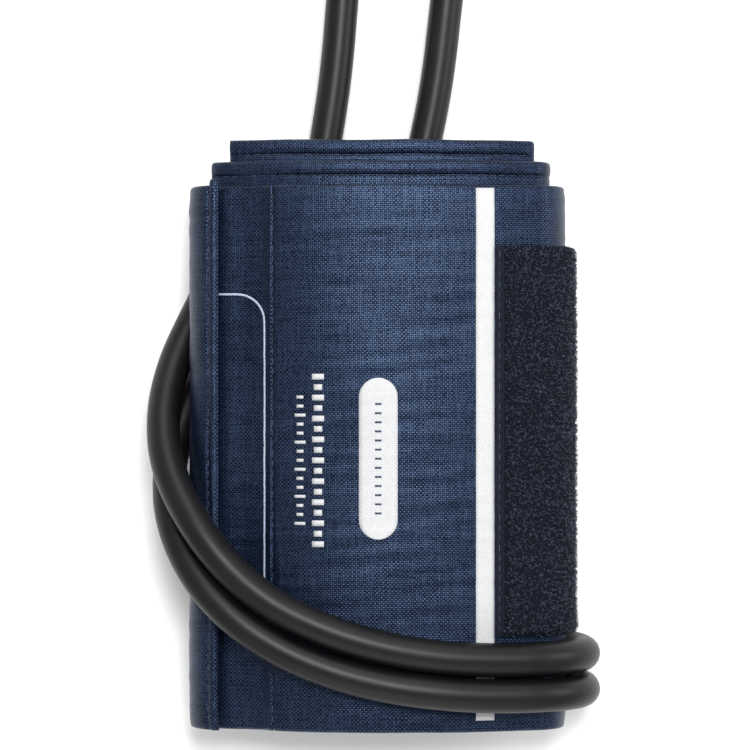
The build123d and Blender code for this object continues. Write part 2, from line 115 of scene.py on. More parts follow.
# ---- materials ---------------------------------------------------------------------------
class Shader:
    """A material with one Principled shader, and short calls that add nodes to it."""

    def __init__(self, name, **values):
        self.material = bpy.data.materials.new(name)
        self.material.use_nodes = True
        self.nodes = self.material.node_tree.nodes
        self.links = self.material.node_tree.links
        self.shader = self.nodes["Principled BSDF"]
        for socket, value in values.items():
            self.shader.inputs[socket.replace("_", " ")].default_value = value

    def plug(self, value, socket):
        if isinstance(value, bpy.types.NodeSocket):
            self.links.new(value, socket)
        else:
            socket.default_value = value

    def math(self, operation, *values):
        node = self.nodes.new("ShaderNodeMath")
        node.operation = operation
        for value, socket in zip(values, node.inputs):
            self.plug(value, socket)
        return node.outputs[0]

    def combine(self, x, y):
        node = self.nodes.new("ShaderNodeCombineXYZ")
        for value, socket in zip((x, y), node.inputs):
            self.plug(value, socket)
        return node.outputs[0]

    def noise(self, vector, scale, detail):
        node = self.nodes.new("ShaderNodeTexNoise")
        node.inputs["Scale"].default_value = scale
        node.inputs["Detail"].default_value = detail
        self.links.new(vector, node.inputs["Vector"])
        return node.outputs["Fac"]

    def per_crossing(self, column, row):
        """A random value for each crossing of two threads."""
        node = self.nodes.new("ShaderNodeTexWhiteNoise")
        node.noise_dimensions = "2D"
        self.links.new(self.combine(column, row), node.inputs["Vector"])
        return node.outputs["Value"]

    def ramp(self, value, low, high, dark, light):
        """Colours from dark to light as a value goes from low to high."""
        node = self.nodes.new("ShaderNodeValToRGB")
        first, last = node.color_ramp.elements
        first.position, first.color = low, (*dark, 1)
        last.position, last.color = high, (*light, 1)
        self.links.new(value, node.inputs["Fac"])
        return node.outputs["Color"]

    def spread(self, value, low, high):
        """A value from 0 to 1 as a value from low to high."""
        node = self.nodes.new("ShaderNodeMapRange")
        node.inputs["To Min"].default_value = low
        node.inputs["To Max"].default_value = high
        self.links.new(value, node.inputs["Value"])
        return node.outputs["Result"]

    def bump(self, height, distance, strength=1.0):
        node = self.nodes.new("ShaderNodeBump")
        node.inputs["Distance"].default_value = distance
        node.inputs["Strength"].default_value = strength
        self.links.new(height, node.inputs["Height"])
        self.links.new(node.outputs["Normal"], self.shader.inputs["Normal"])

    def object_coordinates(self):
        return self.nodes.new("ShaderNodeTexCoord").outputs["Object"]

    def strip_coordinates(self):
        """Millimetres along the strip and across it, from the mesh's own map."""
        node = self.nodes.new("ShaderNodeUVMap")
        node.uv_map = "strip"
        apart = self.nodes.new("ShaderNodeSeparateXYZ")
        self.links.new(node.outputs["UV"], apart.inputs[0])
        return apart.outputs[0], apart.outputs[1]


def woven(name, dark, light, pitch, painted_shade_contrast, bump, flecks=0.5, slubby=0.8, shine=None, **values):
    """Plain weave: crowned threads that pass over and under each other, with painted shade that is
    lighter on the crowns and darker in the hollows between them, and the weft painted lighter than
    the warp as light from above would show it. Flecks is how much each crossing's tone varies,
    slubby how much each thread's does along its length, and shine the gloss of dull and bright threads."""
    cloth = Shader(name, **values)
    along, across = cloth.strip_coordinates()
    place = cloth.combine(along, across)
    drift = cloth.spread(cloth.noise(place, 0.12, 3), -0.5, 0.5)
    column = cloth.math("ADD", cloth.math("DIVIDE", along, pitch), drift)
    row = cloth.math("ADD", cloth.math("DIVIDE", across, pitch), drift)
    in_column, in_row = (cloth.math("FRACT", value) for value in (column, row))
    column_number, row_number = (cloth.math("FLOOR", value) for value in (column, row))
    crowns = [cloth.math("SINE", cloth.math("MULTIPLY", value, pi)) for value in (in_column, in_row)]
    warp_over = cloth.math("MODULO", cloth.math("ADD", column_number, row_number), 2.0)
    warp_over = cloth.math("ABSOLUTE", warp_over)

    def chosen(pair):
        """The warp's value where the warp lies on top, or else the weft's."""
        step = cloth.math("SUBTRACT", pair[0], pair[1])
        return cloth.math("MULTIPLY_ADD", step, warp_over, pair[1])

    heights = []
    for across_thread, along_thread in (crowns, reversed(crowns)):
        arch = cloth.math("MULTIPLY_ADD", along_thread, 0.45, 0.55)
        heights.append(cloth.math("MULTIPLY", cloth.math("POWER", across_thread, 0.6), arch))
    height = chosen(heights)
    slubs = [cloth.noise(cloth.combine(cloth.math("MULTIPLY", along, a),
                                       cloth.math("MULTIPLY", across, b)), 1.0, 3)
             for a, b in ((2.2, 0.08), (0.08, 2.2))]
    # Painted light: where the weft lies on top its colour is raised, as light from above would brighten
    # one set of threads.
    weft_painted_light = cloth.math("SUBTRACT", 0.5, warp_over)
    fleck = cloth.math("SUBTRACT", cloth.per_crossing(column_number, row_number), 0.5)
    worn = cloth.math("SUBTRACT", cloth.noise(place, 0.035, 4), 0.5)
    # Painted shade: the colour follows the threads' height, lighter on their crowns and darker in the
    # hollows between them.
    value = cloth.math("MULTIPLY_ADD", cloth.math("SUBTRACT", height, 0.65), painted_shade_contrast, 0.5)
    for part, share in ((weft_painted_light, painted_shade_contrast * 0.5), (fleck, flecks), (worn, 0.5),
                        (cloth.math("SUBTRACT", chosen(slubs), 0.5), slubby)):
        value = cloth.math("MULTIPLY_ADD", part, share, value)
    cloth.plug(cloth.ramp(value, 0.0, 1.0, dark, light), cloth.shader.inputs["Base Color"])
    if shine:
        cloth.plug(cloth.ramp(value, 0.1, 0.9, *shine), cloth.shader.inputs["Specular Tint"])
    cloth.plug(cloth.spread(height, values["Roughness"] + 0.12, values["Roughness"] - 0.05),
               cloth.shader.inputs["Roughness"])
    cloth.bump(height, bump)
    return cloth.material


def rubber(name, dark, light, roughness, grain):
    """Extruded or moulded rubber: a fine matt grain and faint dusty patches."""
    skin = Shader(name, IOR=1.42, Specular_IOR_Level=0.36)
    place = skin.object_coordinates()
    patches = skin.noise(place, 60, 4)
    fine = skin.noise(place, grain, 3)
    value = skin.math("MULTIPLY_ADD", fine, 0.4, skin.math("MULTIPLY", patches, 0.6))
    skin.plug(skin.ramp(value, 0.3, 0.7, dark, light), skin.shader.inputs["Base Color"])
    skin.plug(skin.spread(patches, roughness - 0.06, roughness + 0.08), skin.shader.inputs["Roughness"])
    skin.bump(fine, 0.00004, 0.5)
    return skin.material


def moulded(name, dark, light, roughness):
    """Moulded plastic: spark-eroded grain, a little flow and handling wear."""
    skin = Shader(name, IOR=1.46)
    place = skin.object_coordinates()
    flow = skin.noise(place, 90, 3)
    fine = skin.noise(place, 1400, 2)
    value = skin.math("MULTIPLY_ADD", fine, 0.3, skin.math("MULTIPLY", flow, 0.7))
    skin.plug(skin.ramp(value, 0.3, 0.75, dark, light), skin.shader.inputs["Base Color"])
    skin.plug(skin.spread(flow, roughness - 0.08, roughness + 0.1), skin.shader.inputs["Roughness"])
    skin.bump(fine, 0.00003, 0.6)
    return skin.material


def fibres(name, dark, light, roughness, **values):
    """Separate filaments, each with its own shade."""
    strand = Shader(name, Roughness=roughness, **values)
    island = strand.nodes.new("ShaderNodeNewGeometry").outputs["Random Per Island"]
    fine = strand.noise(strand.object_coordinates(), 900, 2)
    value = strand.math("MULTIPLY_ADD", fine, 0.3, strand.math("MULTIPLY", island, 0.7))
    strand.plug(strand.ramp(value, 0.1, 0.95, dark, light), strand.shader.inputs["Base Color"])
    return strand.material


NYLON = woven("navy_nylon", (0.0004, 0.0012, 0.0035), (0.0065, 0.0125, 0.030), 0.55, 1.45, 0.00005,
              slubby=2.4, shine=((0.06, 0.09, 0.18), (0.40, 0.58, 0.98)),
              Roughness=0.37, Specular_IOR_Level=0.55, IOR=1.65)
LINING = woven("navy_lining", (0.003, 0.006, 0.016), (0.022, 0.036, 0.080), 0.40, 0.8, 0.00008,
               Roughness=0.7, Specular_IOR_Level=0.3)
TAPE_WEAVE = woven("tape_weave", (0.001, 0.0015, 0.004), (0.008, 0.013, 0.030), 0.55, 0.9, 0.00012,
                   Roughness=0.7, Specular_IOR_Level=0.2)
WHITE_INK = woven("white_ink", (0.42, 0.425, 0.435), (0.60, 0.60, 0.61), 0.55, 0.35, 0.00003,
                  flecks=0.2, slubby=0.3, Roughness=0.55)
PALE_INK = woven("pale_ink", (0.24, 0.30, 0.40), (0.55, 0.62, 0.74), 0.55, 0.4, 0.00003,
                 flecks=0.2, slubby=0.3, Roughness=0.55)
NAVY_INK = woven("navy_ink", (0.010, 0.016, 0.045), (0.035, 0.055, 0.13), 0.50, 0.4, 0.00003,
                 flecks=0.2, slubby=0.3, Roughness=0.5)
PILE_PAD = fibres("pile_ground", (0.001, 0.0013, 0.003), (0.005, 0.007, 0.013), 0.9,
                  Specular_IOR_Level=0.1)
PILE_LOOPS = fibres("pile_loops", (0.002, 0.003, 0.007), (0.085, 0.105, 0.16), 0.55,
                    Specular_IOR_Level=0.4)
HOOK_NYLON = fibres("hook_nylon", (0.006, 0.008, 0.018), (0.040, 0.050, 0.090), 0.4)
THREAD = fibres("navy_thread", (0.006, 0.010, 0.024), (0.045, 0.062, 0.115), 0.6)
HOSE_RUBBER = rubber("hose_rubber", (0.002, 0.002, 0.0022), (0.006, 0.006, 0.0062), 0.40, 1800)
PORT_RUBBER = rubber("port_rubber", (0.008, 0.008, 0.009), (0.020, 0.020, 0.021), 0.55, 1200)
BLADDER_RUBBER = rubber("bladder_rubber", (0.012, 0.012, 0.014), (0.035, 0.035, 0.039), 0.6, 900)
GROMMET_PLASTIC = moulded("grommet_plastic", (0.020, 0.026, 0.045), (0.050, 0.064, 0.100), 0.5)
CONNECTOR_PLASTIC = moulded("connector_plastic", (0.36, 0.37, 0.39), (0.62, 0.63, 0.65), 0.34)
COLLAR_PLASTIC = moulded("collar_plastic", (0.055, 0.058, 0.064), (0.12, 0.125, 0.135), 0.45)

for node, material in {
    "gauge_port": PORT_RUBBER, "bulb_port": PORT_RUBBER,
    "gauge_port_grommet": GROMMET_PLASTIC, "bulb_port_grommet": GROMMET_PLASTIC,
    "gauge_connector": CONNECTOR_PLASTIC, "bulb_connector": CONNECTOR_PLASTIC,
    "lock_collar": COLLAR_PLASTIC,
}.items():
    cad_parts[node].data.materials.clear()
    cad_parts[node].data.materials.append(material)

# ---- hoses -------------------------------------------------------------------------------
# Each route starts where the hose is pushed on its port under the roll, climbs the left edge,
# crosses the front, goes round the right edge, and runs under the roll and out past its top.
ROUTES = {
    "gauge": [
        (-36.4, 59.6, 4.6), (-44.2, 49.3, 4.6), (-50.1, 37.3, 6.5), (-55.5, 25.1, 11.8),
        (-58.0, 11.2, 20.0), (-56.2, -1.9, 28.1), (-50.0, -14.5, 35.2), (-41.1, -26.7, 38.9),
        (-29.8, -36.9, 39.5), (-16.0, -44.0, 40.2), (-1.0, -48.9, 40.3), (14.4, -51.8, 39.6),
        (29.8, -52.9, 37.6), (46.4, -52.8, 34.5), (55.4, -52.6, 25.6), (55.4, -52.4, 13.3),
        (46.7, -51.4, 4.6), (31.0, -47.0, 4.6), (16.7, -37.7, 4.6), (5.4, -23.7, 4.6),
        (-1.3, -7.0, 4.6), (-3.3, 11.9, 4.6), (-0.7, 32.7, 4.6), (5.3, 54.9, 4.6),
        (11.4, 78.0, 4.6), (16.4, 101.5, 4.6), (19.0, 125.0, 4.6), (21.6, 147.0, 4.6),
        (31.4, 167.2, 4.6), (48.6, 181.8, 4.6), (70.6, 187.6, 4.6), (92.8, 183.4, 4.6),
        (111.0, 170.6, 4.6), (122.0, 151.8, 4.6),
    ],
    "bulb": [
        (-34.6, 40.4, 4.6), (-42.2, 30.8, 4.6), (-48.8, 19.1, 6.3), (-54.6, 6.2, 11.8),
        (-56.6, -6.9, 19.5), (-54.1, -19.8, 27.3), (-47.6, -31.8, 33.5), (-37.7, -42.3, 37.4),
        (-25.2, -50.4, 38.8), (-11.4, -56.0, 39.8), (2.8, -59.5, 40.2), (17.2, -61.4, 39.6),
        (31.2, -62.4, 37.5), (46.4, -62.3, 34.5), (55.4, -62.2, 25.6), (55.4, -62.0, 13.3),
        (46.7, -61.3, 4.6), (28.2, -56.9, 4.6), (10.8, -47.2, 4.6), (-4.0, -31.8, 4.6),
        (-14.6, -11.5, 4.6), (-19.8, 10.5, 4.6), (-20.8, 33.0, 4.6), (-18.2, 56.0, 4.6),
        (-15.2, 80.0, 4.6), (-11.3, 104.0, 4.6), (-9.4, 128.0, 4.6), (-7.6, 149.0, 4.6),
        (1.8, 171.5, 4.6), (19.0, 188.8, 4.6), (42.0, 198.8, 4.6), (68.5, 200.2, 4.6),
    ],
}


def hose(name):
    """A rubber hose on one smooth spline through its route."""
    points = to_row(ROUTES[name])
    curve = bpy.data.curves.new(f"{name}_line", "CURVE")
    curve.dimensions = "3D"
    spline = curve.splines.new("NURBS")
    spline.points.add(len(points) - 1)
    for control, point in zip(spline.points, points):
        control.co = (*point, 1)
    spline.order_u = 3
    spline.use_endpoint_u = True
    curve.resolution_u = 10
    curve.bevel_depth = HOSE_OD / 2 * MM
    curve.bevel_resolution = 8
    curve.use_fill_caps = True
    curve.materials.append(HOSE_RUBBER)
    line = bpy.data.objects.new(f"{name}_line", curve)
    bpy.context.scene.collection.objects.link(line)
    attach(line, "cuff")
    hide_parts(f"{name}_hose")


for name in ROUTES:
    hose(name)


# ---- the rolled strip --------------------------------------------------------------------
# Its path is followed from the flap's end to the core. Every piece of it is a level line along
# the back or an arc that turns the same way: (length, centre X, centre Z, radius, start angle).

def front_arc(crown, radius, fold_x=FOLD_X):
    """Radius and end angle of the arc that joins a fold to the crown at the middle."""
    back = FOLD_Z - radius
    rise = crown - back
    front_radius = (fold_x ** 2 + (rise - radius) ** 2 - radius ** 2) / (2 * (rise - 2 * radius))
    return front_radius, atan2(FOLD_Z - (crown - front_radius), fold_x)


def arc_piece(centre_x, centre_z, radius, start, end):
    return radius * (end - start), centre_x, centre_z, radius, start


def rolled_path():
    """Fold, back, fold and front of each wrap. A back piece has no radius."""
    flap_angle = pi - acos((-FLAP_END_X - FOLD_X) / FOLD_RADIUS)
    pieces = [arc_piece(-FOLD_X, FOLD_Z, FOLD_RADIUS, flap_angle, 1.5 * pi)]
    for wrap in range(3):
        radius = FOLD_RADIUS - wrap * PITCH
        crown = CROWN_Z - wrap * PITCH
        front_radius, angle = front_arc(crown, radius)
        left_x = LEFT_FOLD_X[wrap]
        pieces.append((left_x + FOLD_X, -left_x, BACK_Z + wrap * PITCH, None, 0.0))
        pieces.append(arc_piece(FOLD_X, FOLD_Z, radius, -pi / 2, angle))
        pieces.append(arc_piece(0, crown - front_radius, front_radius, angle, pi / 2))
        inner_radius = radius - PITCH
        if wrap < 2:
            fold_x = LEFT_FOLD_X[wrap + 1]
            front_radius, angle = front_arc(crown, inner_radius, fold_x)
            pieces.append(arc_piece(0, crown - front_radius, front_radius, pi / 2, pi - angle))
            pieces.append(arc_piece(-fold_x, FOLD_Z, inner_radius, pi - angle, 1.5 * pi))
        else:
            end_angle = acos(CORE_END_X / CORE_RADIUS)
            pieces.append(arc_piece(0, crown - CORE_RADIUS, CORE_RADIUS, pi / 2, end_angle))
    return pieces


PIECES = rolled_path()
STARTS = [sum(piece[0] for piece in PIECES[:k]) for k in range(len(PIECES))]
STRIP_LENGTH = STARTS[-1] + PIECES[-1][0]
BACK_1, FOLD_1, WRAP_2, BACK_2, BACK_3 = (STARTS[k] for k in (1, 2, 5, 6, 11))


def along_front(x):
    """Distance along the strip of a place on the front face of the outermost wrap."""
    index = 3 if x >= 0 else 4
    length, _, _, radius, start = PIECES[index]
    beyond = max(0.0, -FOLD_X - x)
    return STARTS[index] + radius * (acos((x + beyond) / radius) - start) + beyond


POCKET_START = BACK_1 + FOLD_X - 38.0
POCKET_END = along_front(-27.9)
FLAP_STITCH = 3.0
# Place along the strip, depth of the groove, and how far the puckers beside it reach
SEAMS = ((POCKET_END, 0.5, 7.0), (FLAP_STITCH, 0.35, 4.0), (POCKET_START - 2, 0.3, 4.0))
STEPS, STEP_RUN = (BACK_2 + 5, BACK_3 + 5), 70.0    # the wraps slide along Y at their backs
FLAP_CORNER = 1.7           # how far the flap's upper corner stands proud
EDGE_WANDER = 0.22          # of the strip's edges, to and fro along Y


def smooth(value):
    value = np.clip(value, 0, 1)
    return value * value * (3 - 2 * value)


def rough(*coordinates, seed=0.0):
    """Smooth noise from -1 to 1 at each place."""
    return np.array([noise.noise((a, b, seed)) for a, b in zip(*np.broadcast_arrays(*coordinates))])


def bell(value, width):
    return np.exp(-(value / width) ** 2)


WAVE, WRINKLE, CREASE, PUCKER = 0.32, 0.12, 0.19, 0.20
CHANNEL_DEPTH, EDGE_DROP = 1.2, 0.3     # beside the flap, and at the outermost wrap's edges
HEM_PUFF, HEM_GROOVE = 0.35, 0.40


def relief(distance, y):
    """How far the cloth stands off its path: swell, hems, seams and creases."""
    from_edge = EDGE - np.abs(y)
    inner_wraps = smooth((distance - WRAP_2) / 2)
    past_seam = distance - POCKET_END
    height = WAVE * rough(distance / 31, y / 38, seed=1)
    height += WRINKLE * rough(distance / 9, y / 13, seed=2)
    height += CREASE * rough(distance / 26, y / 2.6 + distance / 45, seed=3) * (1 - inner_wraps)
    height -= CHANNEL_DEPTH * smooth(past_seam / 3) * (1 - smooth((distance - WRAP_2 + 9) / 8))
    height -= EDGE_DROP * (1 - smooth(from_edge / 5)) * (1 - inner_wraps)
    height += HEM_PUFF * inner_wraps * np.sin(pi * np.clip(from_edge / HEM, 0, 1))
    height -= HEM_GROOVE * inner_wraps * bell(from_edge - HEM, 0.26)
    height += HEM_PUFF * np.sin(pi * np.clip(distance / FLAP_STITCH, 0, 1))
    for stitched, depth, reach in SEAMS:
        away = np.abs(distance - stitched)
        height -= depth * bell(away, 0.4)
        height += PUCKER * rough(y / 1.7, distance / 40, seed=stitched) * np.exp(-away / reach)
    return height


def shift(distance, y):
    """How far the strip is pushed out along Y: the inner wraps slide as they pass along the back,
    and the flap's folded end stands a little proud at its upper corner."""
    steps = smooth((distance - STEPS[0]) / STEP_RUN) * WRAP_SHIFT[1]
    steps = steps + smooth((distance - STEPS[1]) / STEP_RUN) * (WRAP_SHIFT[2] - WRAP_SHIFT[1])
    corner = smooth((y - EDGE + 5) / 5) * (1 - smooth((distance - FLAP_STITCH + 0.5) / 0.5))
    return steps + FLAP_CORNER * corner


def surface(distance, y, out):
    """Places on the strip, off its outer face by out, as points in the row frame."""
    distance, y, out = (a.ravel() for a in np.broadcast_arrays(distance, y, out))
    x, z, radius = np.zeros((3, len(distance)))
    lean = np.zeros((len(distance), 2))
    for (length, centre_x, centre_z, bend, angle), start in zip(PIECES, STARTS):
        here = (distance >= start) | (start == 0)
        travelled = distance[here] - start
        if bend is None:
            x[here], z[here], radius[here] = centre_x + travelled, centre_z, 1e3
            lean[here] = 0, -1
        else:
            turn = angle + travelled / bend
            lean[here] = np.stack([np.cos(turn), np.sin(turn)], axis=1)
            x[here], z[here] = centre_x + bend * lean[here][:, 0], centre_z + bend * lean[here][:, 1]
            radius[here] = bend
    off = np.maximum(out, 0.15 - radius) + relief(distance, y) * np.minimum(1, radius / 8)
    wander = EDGE_WANDER * rough(distance / 17, y / 90, seed=5) * np.abs(y) / EDGE
    y_out = y + shift(distance, y) + wander
    return to_row(np.stack([x + lean[:, 0] * off, y_out, z + lean[:, 1] * off], axis=1))


def spaced(low, high, step):
    return np.linspace(low, high, max(2, ceil((high - low) / step) + 1))


def rings(start, end, step):
    """Distances along the strip: close together round the folds and at the seams, and further
    apart where the wraps are hidden inside the roll."""
    places = [start, end]
    for (length, _, _, bend, _), begin in zip(PIECES, STARTS):
        low, high = max(start, begin), min(end, begin + length)
        widest = step if begin < WRAP_2 else 2 * step
        if high - low > 0.01:
            places.extend(spaced(low, high, widest if bend is None else min(widest, bend * 0.16)))
    for seam, _, _ in SEAMS:
        places.extend(seam + off for off in (-0.8, -0.4, -0.2, 0, 0.2, 0.4, 0.8))
    places = np.unique(np.round([place for place in places if start <= place <= end], 3))
    return places[np.append(True, np.diff(places) > 0.05)]


# ---- mesh building -----------------------------------------------------------------------
def piece(name, points, faces, material, slot, node=None, strip=None):
    """A smooth mesh that rides on the cuff, with its places on the strip as a map."""
    mesh = bpy.data.meshes.new(name)
    mesh.from_pydata(points.tolist(), [], faces)
    mesh.polygons.foreach_set("use_smooth", [True] * len(mesh.polygons))
    if strip is not None:
        corners = np.zeros(len(mesh.loops), int)
        mesh.loops.foreach_get("vertex_index", corners)
        mesh.uv_layers.new(name="strip").data.foreach_set("uv", strip[corners].ravel())
    mesh.materials.append(material)
    mesh.update()
    made = bpy.data.objects.new(name, mesh)
    bpy.context.scene.collection.objects.link(made)
    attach(made, "cuff")
    if node:
        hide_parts(node)
    return made


def grid_faces(rows, columns, first=0, closed=False):
    """Quads of a grid whose columns may close on themselves."""
    faces = []
    for row in range(rows - 1):
        for column in range(columns if closed else columns - 1):
            beside = (column + 1) % columns
            here, above = first + row * columns, first + (row + 1) * columns
            faces.append((here + column, here + beside, above + beside, above + column))
    return faces


END_SHARES = (0.25, 0.7)    # of a layer's thickness at its very end, and a little way in
END_REACH = 0.12            # how far in that is, as a share of the thickness


def carried(name, distances, loop, material, slot, node, swell=None):
    """A closed layer of the strip: a loop of (y, out) pairs carried along it, with soft ends.
    swell(distance, y) pushes the loop's places inward."""
    loop = np.array(loop, float)
    middle = (loop[:, 1].max() + loop[:, 1].min()) / 2
    reach = (loop[:, 1].max() - loop[:, 1].min()) * END_REACH
    tip, shoulder = END_SHARES
    stations = [(distances[0], tip), (distances[0] + reach, shoulder)]
    stations += [(distance, 1.0) for distance in distances[1:-1]]
    stations += [(distances[-1] - reach, shoulder), (distances[-1], tip)]
    along = np.repeat([d for d, _ in stations], len(loop))
    share = np.repeat([s for _, s in stations], len(loop))
    y = np.tile(loop[:, 0], len(stations))
    out = middle + (np.tile(loop[:, 1], len(stations)) - middle) * share
    if swell is not None:
        out = out - swell(along, y)
    faces = grid_faces(len(stations), len(loop), closed=True)
    last = (len(stations) - 1) * len(loop)
    faces.append(tuple(reversed(range(len(loop)))))
    faces.append(tuple(range(last, last + len(loop))))
    return piece(name, surface(along, y, out), faces, material, slot, node,
                 np.stack([along, y], axis=1))


def rim(y, side, out_high, out_low, steps=6):
    """Half round from one offset to another, round an edge on the side +1 or -1."""
    radius = (out_high - out_low) / 2
    middle = (out_high + out_low) / 2
    angles = [side * (pi / 2 - pi * k / steps) for k in range(steps + 1)]
    return [(y + side * radius * cos(a), middle + radius * sin(side * a)) for a in angles]


def flat_loop(half, out_high, out_low, step, centre=0.0):
    """Section of a plain layer with rounded edges."""
    radius = (out_high - out_low) / 2
    ys = spaced(-half + radius, half - radius, step)[1:-1]
    loop = [(y, out_high) for y in ys] + rim(half - radius, 1, out_high, out_low)
    loop += [(y, out_low) for y in ys[::-1]]
    loop += rim(-half + radius, -1, out_high, out_low)[::-1]
    return [(y + centre, out) for y, out in loop]


def cover_loop():
    """Section of the cover: its outer face, and both edges turned in over the liner."""
    outer = -RETURN_IN / 2
    near = EDGE - HEM - 0.9
    side = [near, *(EDGE - HEM + off for off in (-0.45, -0.22, 0, 0.22, 0.45))]
    side += list(spaced(EDGE - HEM + 0.9, EDGE - outer, 0.6))[:-1]
    ys = [-y for y in reversed(side)] + list(spaced(-near, near, 0.95))[1:-1] + side
    edge = rim(EDGE - outer, 1, 0.0, RETURN_IN)
    edge += [(EDGE - HEM - 0.6, RETURN_IN), (EDGE - HEM - 0.8, (RETURN_IN + RETURN_OUT) / 2),
             (EDGE - HEM - 0.6, RETURN_OUT)]
    edge += rim(EDGE - outer, 1, -SHEET, RETURN_OUT, 4)[::-1]
    inner = [(y, -SHEET) for y in spaced(-EDGE + 6, EDGE - 6, 9)]
    return ([(y, 0.0) for y in ys] + edge + inner[::-1]
            + [(-y, out) for y, out in reversed(edge)])


def bladder_room(distance, y):
    """From 0 to 1, how far the pocket is filled by the bladder."""
    ends = smooth((distance - POCKET_START) / 6) * smooth((POCKET_END - distance) / 6)
    return ends * smooth((EDGE - 5 - np.abs(y)) / 7)


cover = carried("cuff_cover", rings(0, STRIP_LENGTH, 1.4), cover_loop(), NYLON, "nylon_outer",
                "outer_cover")
liner = carried("cuff_liner", rings(1.0, STRIP_LENGTH - 1.0, 2.2),
                flat_loop(EDGE - 1.3, LINER_OUT, LINER_IN, 2.4), LINING, "nylon_inner",
                "inner_liner", lambda distance, y: BLADDER_SWELL * bladder_room(distance, y))

bladder_flat = flat_loop(EDGE - 9, -0.70, -0.74, 2.4)
bladder_section = np.array(bladder_flat)


def bladder_swell(distance, y):
    """The bladder's inner wall follows the liner, and its outer wall the cover."""
    inner = np.tile(bladder_section[:, 1] < -0.72, len(distance) // len(bladder_section))
    return inner * (BLADDER_SWELL - 0.1) * bladder_room(distance, y)


bladder = carried("bladder_bag", rings(POCKET_START + 1, POCKET_END - 1, 2.2), bladder_flat,
                  BLADDER_RUBBER, "bladder_rubber", "bladder", bladder_swell)

# ---- hook and loop fasteners ---------------------------------------------------------------
TAPE = 0.8
LOOP_X, SELVAGE = 31.1, 2.3
LOOP_LOW, LOOP_HIGH = -47.4, 56.4
LOOP_MIDDLE, LOOP_HALF = (LOOP_LOW + LOOP_HIGH) / 2, (LOOP_HIGH - LOOP_LOW) / 2
LOOP_START = FOLD_1 + radians(50) * FOLD_RADIUS
LOOP_END = along_front(LOOP_X)
PILE_START, PILE_END = LOOP_START + SELVAGE, along_front(LOOP_X + SELVAGE)
PILE_TOP, PILE_SHOULDER = 2.6, 2.2
PILE_LOOP_COUNT = 7200
HOOK_PITCH = 2.4
HOOK_END = STRIP_LENGTH - 9.0
HOOK_START = HOOK_END - 48.0
HOOK_HALF = EDGE - 8

loop_tape = carried("loop_fastener_tape", rings(LOOP_START, LOOP_END, 0.9),
                    flat_loop(LOOP_HALF, TAPE, 0.06, 1.2, LOOP_MIDDLE), TAPE_WEAVE, "tape_weave",
                    "loop_tape")
hook_tape = carried("hook_fastener_tape", rings(HOOK_START, HOOK_END, 1.6),
                    flat_loop(HOOK_HALF, LINER_IN - 0.05, LINER_IN - TAPE, 2.5), TAPE_WEAVE,
                    "tape_weave", "hook_tape")


def tubes(name, lines, radius, material, slot, node=None, sides=3):
    """Thin filaments: each line is (distance, y, out) places, and their ends close to points."""
    count = lines.shape[1]
    centres = surface(*lines.reshape(-1, 3).T).reshape(len(lines), count, 3)
    ahead = np.gradient(centres, axis=1)
    ahead /= np.linalg.norm(ahead, axis=2, keepdims=True)
    aside = np.cross(ahead, (0.31, 0.17, 0.93))
    aside /= np.linalg.norm(aside, axis=2, keepdims=True)
    over = np.cross(ahead, aside)
    turns = 2 * pi * np.arange(sides) / sides
    thick = radius * MM * np.array([0.35] + [1.0] * (count - 2) + [0.35])[None, :, None, None]
    ring = aside[:, :, None] * np.cos(turns)[:, None] + over[:, :, None] * np.sin(turns)[:, None]
    points = (centres[:, :, None] + ring * thick).reshape(-1, 3)
    faces = []
    for k in range(len(lines)):
        first = k * count * sides
        faces.extend(grid_faces(count, sides, first, closed=True))
        faces.append(tuple(reversed(range(first, first + sides))))
        faces.append(tuple(range(first + (count - 1) * sides, first + count * sides)))
    piece(name, points, faces, material, slot, node)


def pile_height(distance, y):
    """Top of the matted ground of the pile: clumps, thinner towards the patch's edges."""
    from_rim = np.minimum.reduce([distance - PILE_START, PILE_END - distance,
                                  y - LOOP_LOW, LOOP_HIGH - y])
    clumps = 0.34 * rough(distance / 1.3, y / 1.3, seed=11)
    clumps += 0.22 * rough(distance / 0.6, y / 0.6, seed=12)
    inside = np.clip(from_rim / PILE_SHOULDER, 0, 1)
    return TAPE + (PILE_TOP - TAPE + clumps) * np.sqrt(inside * (2 - inside))


def pile_ground():
    """The pile's closed body: a clumped top and a flat base on the tape."""
    distances, ys = spaced(PILE_START, PILE_END, 0.55), spaced(LOOP_LOW, LOOP_HIGH, 0.6)
    along, across = (a.ravel() for a in np.meshgrid(distances, ys, indexing="ij"))
    top = np.maximum(pile_height(along, across), TAPE + 0.02)
    base = np.full(len(along), TAPE - 0.1)
    points = np.concatenate([surface(along, across, top), surface(along, across, base)])
    rows, columns = len(distances), len(ys)
    under = rows * columns
    faces = [face[::-1] for face in grid_faces(rows, columns)] + grid_faces(rows, columns, under)
    border = ([(r, 0) for r in range(rows)] + [(rows - 1, c) for c in range(1, columns)]
              + [(r, columns - 1) for r in range(rows - 2, -1, -1)]
              + [(0, c) for c in range(columns - 2, 0, -1)])
    for (r, c), (next_r, next_c) in zip(border, border[1:] + border[:1]):
        here, beyond = r * columns + c, next_r * columns + next_c
        faces.append((here, beyond, under + beyond, under + here))
    piece("loop_fastener_pile", points, faces, PILE_PAD, "loop_pile", "loop_pile")


